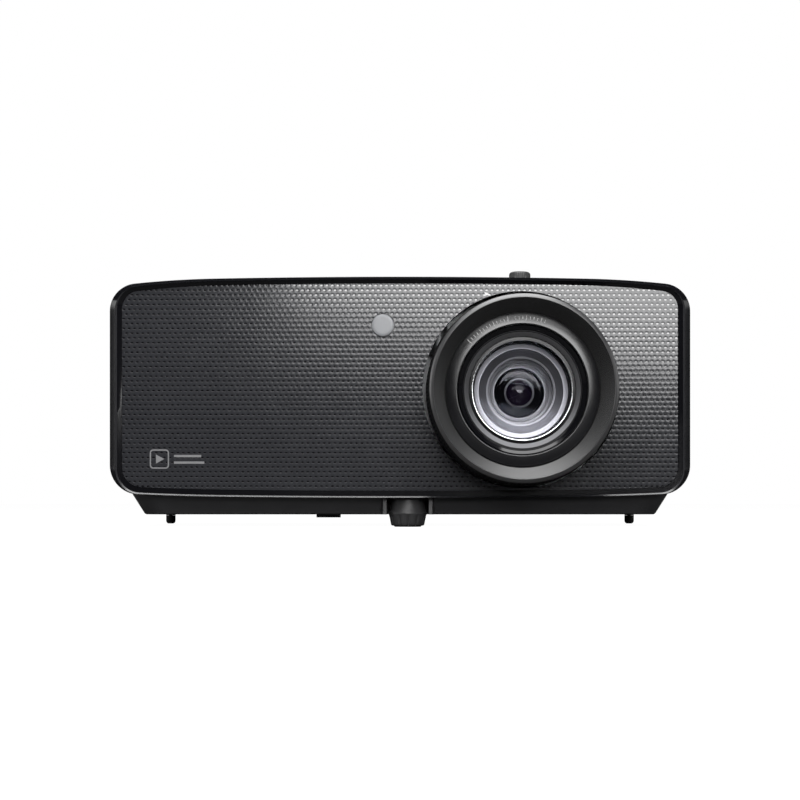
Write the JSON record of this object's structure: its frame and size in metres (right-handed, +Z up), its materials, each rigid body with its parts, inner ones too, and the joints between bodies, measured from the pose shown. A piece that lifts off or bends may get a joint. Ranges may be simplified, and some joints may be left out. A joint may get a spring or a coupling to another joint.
{
  "type": "home projector",
  "caption": "Low wide home projector with a dimpled front panel, an offset zoom lens with focus and zoom rings, side vents, a keypad, rear sockets and levelling feet.",
  "frame": {"origin": "on the table, under the middle of the overall box", "axes": "-Y is the front, where the lens points; +X is to the right seen from the front; +Z is up"},
  "size_m": [0.374, 0.345, 0.1694],
  "materials": {
    "cover_plastic": "fine moulded texture",
    "bezel_plastic": "high gloss",
    "panel_plastic": "semi-gloss, dimpled",
    "window_plastic": "smoked, satin",
    "grille_plastic": "moulded",
    "key_plastic": "satin gloss",
    "ring_plastic": "satin",
    "cell_metal": "black anodised",
    "trim_metal": "bright turned",
    "structure_metal": "die cast",
    "heatsink_metal": "extruded",
    "lens_glass": "coated",
    "board": "solder mask",
    "laser_brass": "plated",
    "phosphor": "coated disc",
    "socket_metal": "plated",
    "socket_plastic": "moulded",
    "fan_plastic": "moulded",
    "speaker_parts": "paper and steel",
    "foot_plastic": "moulded",
    "pad_rubber": "matt",
    "screw_steel": "zinc plated"
  },
  "bodies": {
    "chassis": {"bottom_case": "cover_plastic", "top_cover": "cover_plastic", "front_bezel": "bezel_plastic", "front_panel": "panel_plastic", "lens_dust_ring": "socket_plastic", "ir_window": "window_plastic", "ir_receiver": "board", "left_vent_grille": "grille_plastic", "right_vent_grille": "grille_plastic", "rear_panel": "cover_plastic", "air_cover": "grille_plastic", "case_screws": "screw_steel", "keypad_panel": "bezel_plastic", "keypad_board": "board", "lens_mount": "structure_metal", "light_engine_case": "structure_metal", "prism": "lens_glass", "dmd_board": "board", "dmd_heatsink": "heatsink_metal", "laser_module": "laser_brass", "laser_heatsink": "heatsink_metal", "phosphor_motor": "structure_metal", "light_tunnel": "structure_metal", "main_board": "board", "power_supply": "board", "power_inlet": "socket_plastic", "hdmi_ports": "socket_metal", "data_ports": "socket_metal", "audio_jacks": "socket_plastic", "intake_fan_frame": "fan_plastic", "exhaust_fan_frame": "fan_plastic", "speakers": "speaker_parts"},
    "lens_carriage": {"lens_carriage": "structure_metal", "lens_barrel": "cell_metal", "lens_name_ring": "ring_plastic", "rear_glass": "lens_glass"},
    "zoom_control": {"zoom_ring": "ring_plastic"},
    "focus_control": {"focus_ring": "ring_plastic"},
    "focus_group": {"front_cell": "cell_metal", "front_retainer": "trim_metal", "front_glass": "lens_glass"},
    "zoom_group": {"zoom_cell": "cell_metal", "zoom_glass": "lens_glass"},
    "shift_control": {"shift_knob": "foot_plastic"},
    "colour_wheel": {"phosphor_wheel": "phosphor"},
    "intake_rotor": {"intake_fan_rotor": "fan_plastic"},
    "exhaust_rotor": {"exhaust_fan_rotor": "fan_plastic"},
    "front_pad": {"front_foot_pad": "pad_rubber"},
    "front_knob": {"front_foot_knob": "foot_plastic"},
    "left_tip": {"rear_foot_tip_left": "pad_rubber"},
    "left_screw": {"rear_foot_screw_left": "foot_plastic"},
    "right_tip": {"rear_foot_tip_right": "pad_rubber"},
    "right_screw": {"rear_foot_screw_right": "foot_plastic"},
    "power_key": {"power_button": "key_plastic"},
    "menu_key": {"menu_button": "key_plastic"},
    "up_key": {"up_button": "key_plastic"},
    "down_key": {"down_button": "key_plastic"},
    "left_key": {"left_button": "key_plastic"},
    "right_key": {"right_button": "key_plastic"},
    "enter_key": {"enter_button": "key_plastic"}
  },
  "joints": [
    {"name": "lens_shift", "type": "slide", "parent": "chassis", "child": "lens_carriage", "axis": [0, 0, 1], "range_m": [-0.0008, 0.0034]},
    {"name": "shift_knob_turn", "type": "hinge", "parent": "chassis", "child": "shift_control", "pos_m": [0.0798, -0.0765, 0.165], "axis": [0, 0, -1], "range_deg": [-145, 613]},
    {"name": "zoom_turn", "type": "hinge", "parent": "lens_carriage", "child": "zoom_control", "pos_m": [0.0775, -0.1275, 0.0871], "axis": [0, 1, 0], "range_deg": [-20, 20]},
    {"name": "zoom_slide", "type": "slide", "parent": "lens_carriage", "child": "zoom_group", "axis": [0, 1, 0], "range_m": [-0.005, 0.005]},
    {"name": "focus_turn", "type": "hinge", "parent": "lens_carriage", "child": "focus_control", "pos_m": [0.0775, -0.1475, 0.0871], "axis": [0, 1, 0], "range_deg": [-35, 35]},
    {"name": "focus_slide", "type": "slide", "parent": "lens_carriage", "child": "focus_group", "axis": [0, -1, 0], "range_m": [-0.0015, 0.0015]},
    {"name": "colour_wheel_spin", "type": "hinge", "parent": "chassis", "child": "colour_wheel", "pos_m": [-0.0187, -0.0095, 0.0671], "axis": [1, 0, 0], "continuous": true},
    {"name": "intake_fan_spin", "type": "hinge", "parent": "chassis", "child": "intake_rotor", "pos_m": [0.169, -0.0075, 0.09], "axis": [1, 0, 0], "continuous": true},
    {"name": "exhaust_fan_spin", "type": "hinge", "parent": "chassis", "child": "exhaust_rotor", "pos_m": [-0.169, -0.0075, 0.09], "axis": [-1, 0, 0], "continuous": true},
    {"name": "front_foot_lift", "type": "slide", "parent": "chassis", "child": "front_pad", "axis": [0, 0, -1], "range_m": [0, 0.012]},
    {"name": "front_foot_turn", "type": "hinge", "parent": "front_pad", "child": "front_knob", "pos_m": [0.005, -0.1095, 0.01], "axis": [0, 0, -1], "range_deg": [0, 2881]},
    {"name": "left_foot_lift", "type": "slide", "parent": "chassis", "child": "left_tip", "axis": [0, 0, -1], "range_m": [0, 0.006]},
    {"name": "left_foot_turn", "type": "hinge", "parent": "left_tip", "child": "left_screw", "pos_m": [-0.17, 0.0875, 0.01], "axis": [0, 0, -1], "range_deg": [0, 2161]},
    {"name": "right_foot_lift", "type": "slide", "parent": "chassis", "child": "right_tip", "axis": [0, 0, -1], "range_m": [0, 0.006]},
    {"name": "right_foot_turn", "type": "hinge", "parent": "right_tip", "child": "right_screw", "pos_m": [0.17, 0.0875, 0.01], "axis": [0, 0, -1], "range_deg": [0, 2161]},
    {"name": "power_key_press", "type": "slide", "parent": "chassis", "child": "power_key", "axis": [0, 0, -1], "range_m": [0, 0.0005], "stiffness_N_per_m": 400, "springref_m": -0.0004},
    {"name": "menu_key_press", "type": "slide", "parent": "chassis", "child": "menu_key", "axis": [0, 0, -1], "range_m": [0, 0.0005], "stiffness_N_per_m": 400, "springref_m": -0.0004},
    {"name": "up_key_press", "type": "slide", "parent": "chassis", "child": "up_key", "axis": [0, 0, -1], "range_m": [0, 0.0005], "stiffness_N_per_m": 400, "springref_m": -0.0004},
    {"name": "down_key_press", "type": "slide", "parent": "chassis", "child": "down_key", "axis": [0, 0, -1], "range_m": [0, 0.0005], "stiffness_N_per_m": 400, "springref_m": -0.0004},
    {"name": "left_key_press", "type": "slide", "parent": "chassis", "child": "left_key", "axis": [0, 0, -1], "range_m": [0, 0.0005], "stiffness_N_per_m": 400, "springref_m": -0.0004},
    {"name": "right_key_press", "type": "slide", "parent": "chassis", "child": "right_key", "axis": [0, 0, -1], "range_m": [0, 0.0005], "stiffness_N_per_m": 400, "springref_m": -0.0004},
    {"name": "enter_key_press", "type": "slide", "parent": "chassis", "child": "enter_key", "axis": [0, 0, -1], "range_m": [0, 0.0005], "stiffness_N_per_m": 400, "springref_m": -0.0004}
  ],
  "couplings": [
    {"joint": "shift_knob_turn", "follows": "lens_shift", "rad_per_m": 3141.6},
    {"joint": "zoom_slide", "follows": "zoom_turn", "m_per_rad": 0.014323},
    {"joint": "focus_slide", "follows": "focus_turn", "m_per_rad": 0.0024553},
    {"joint": "front_foot_turn", "follows": "front_foot_lift", "rad_per_m": 4188.8},
    {"joint": "left_foot_turn", "follows": "left_foot_lift", "rad_per_m": 6283.2},
    {"joint": "right_foot_turn", "follows": "right_foot_lift", "rad_per_m": 6283.2}
  ]
}
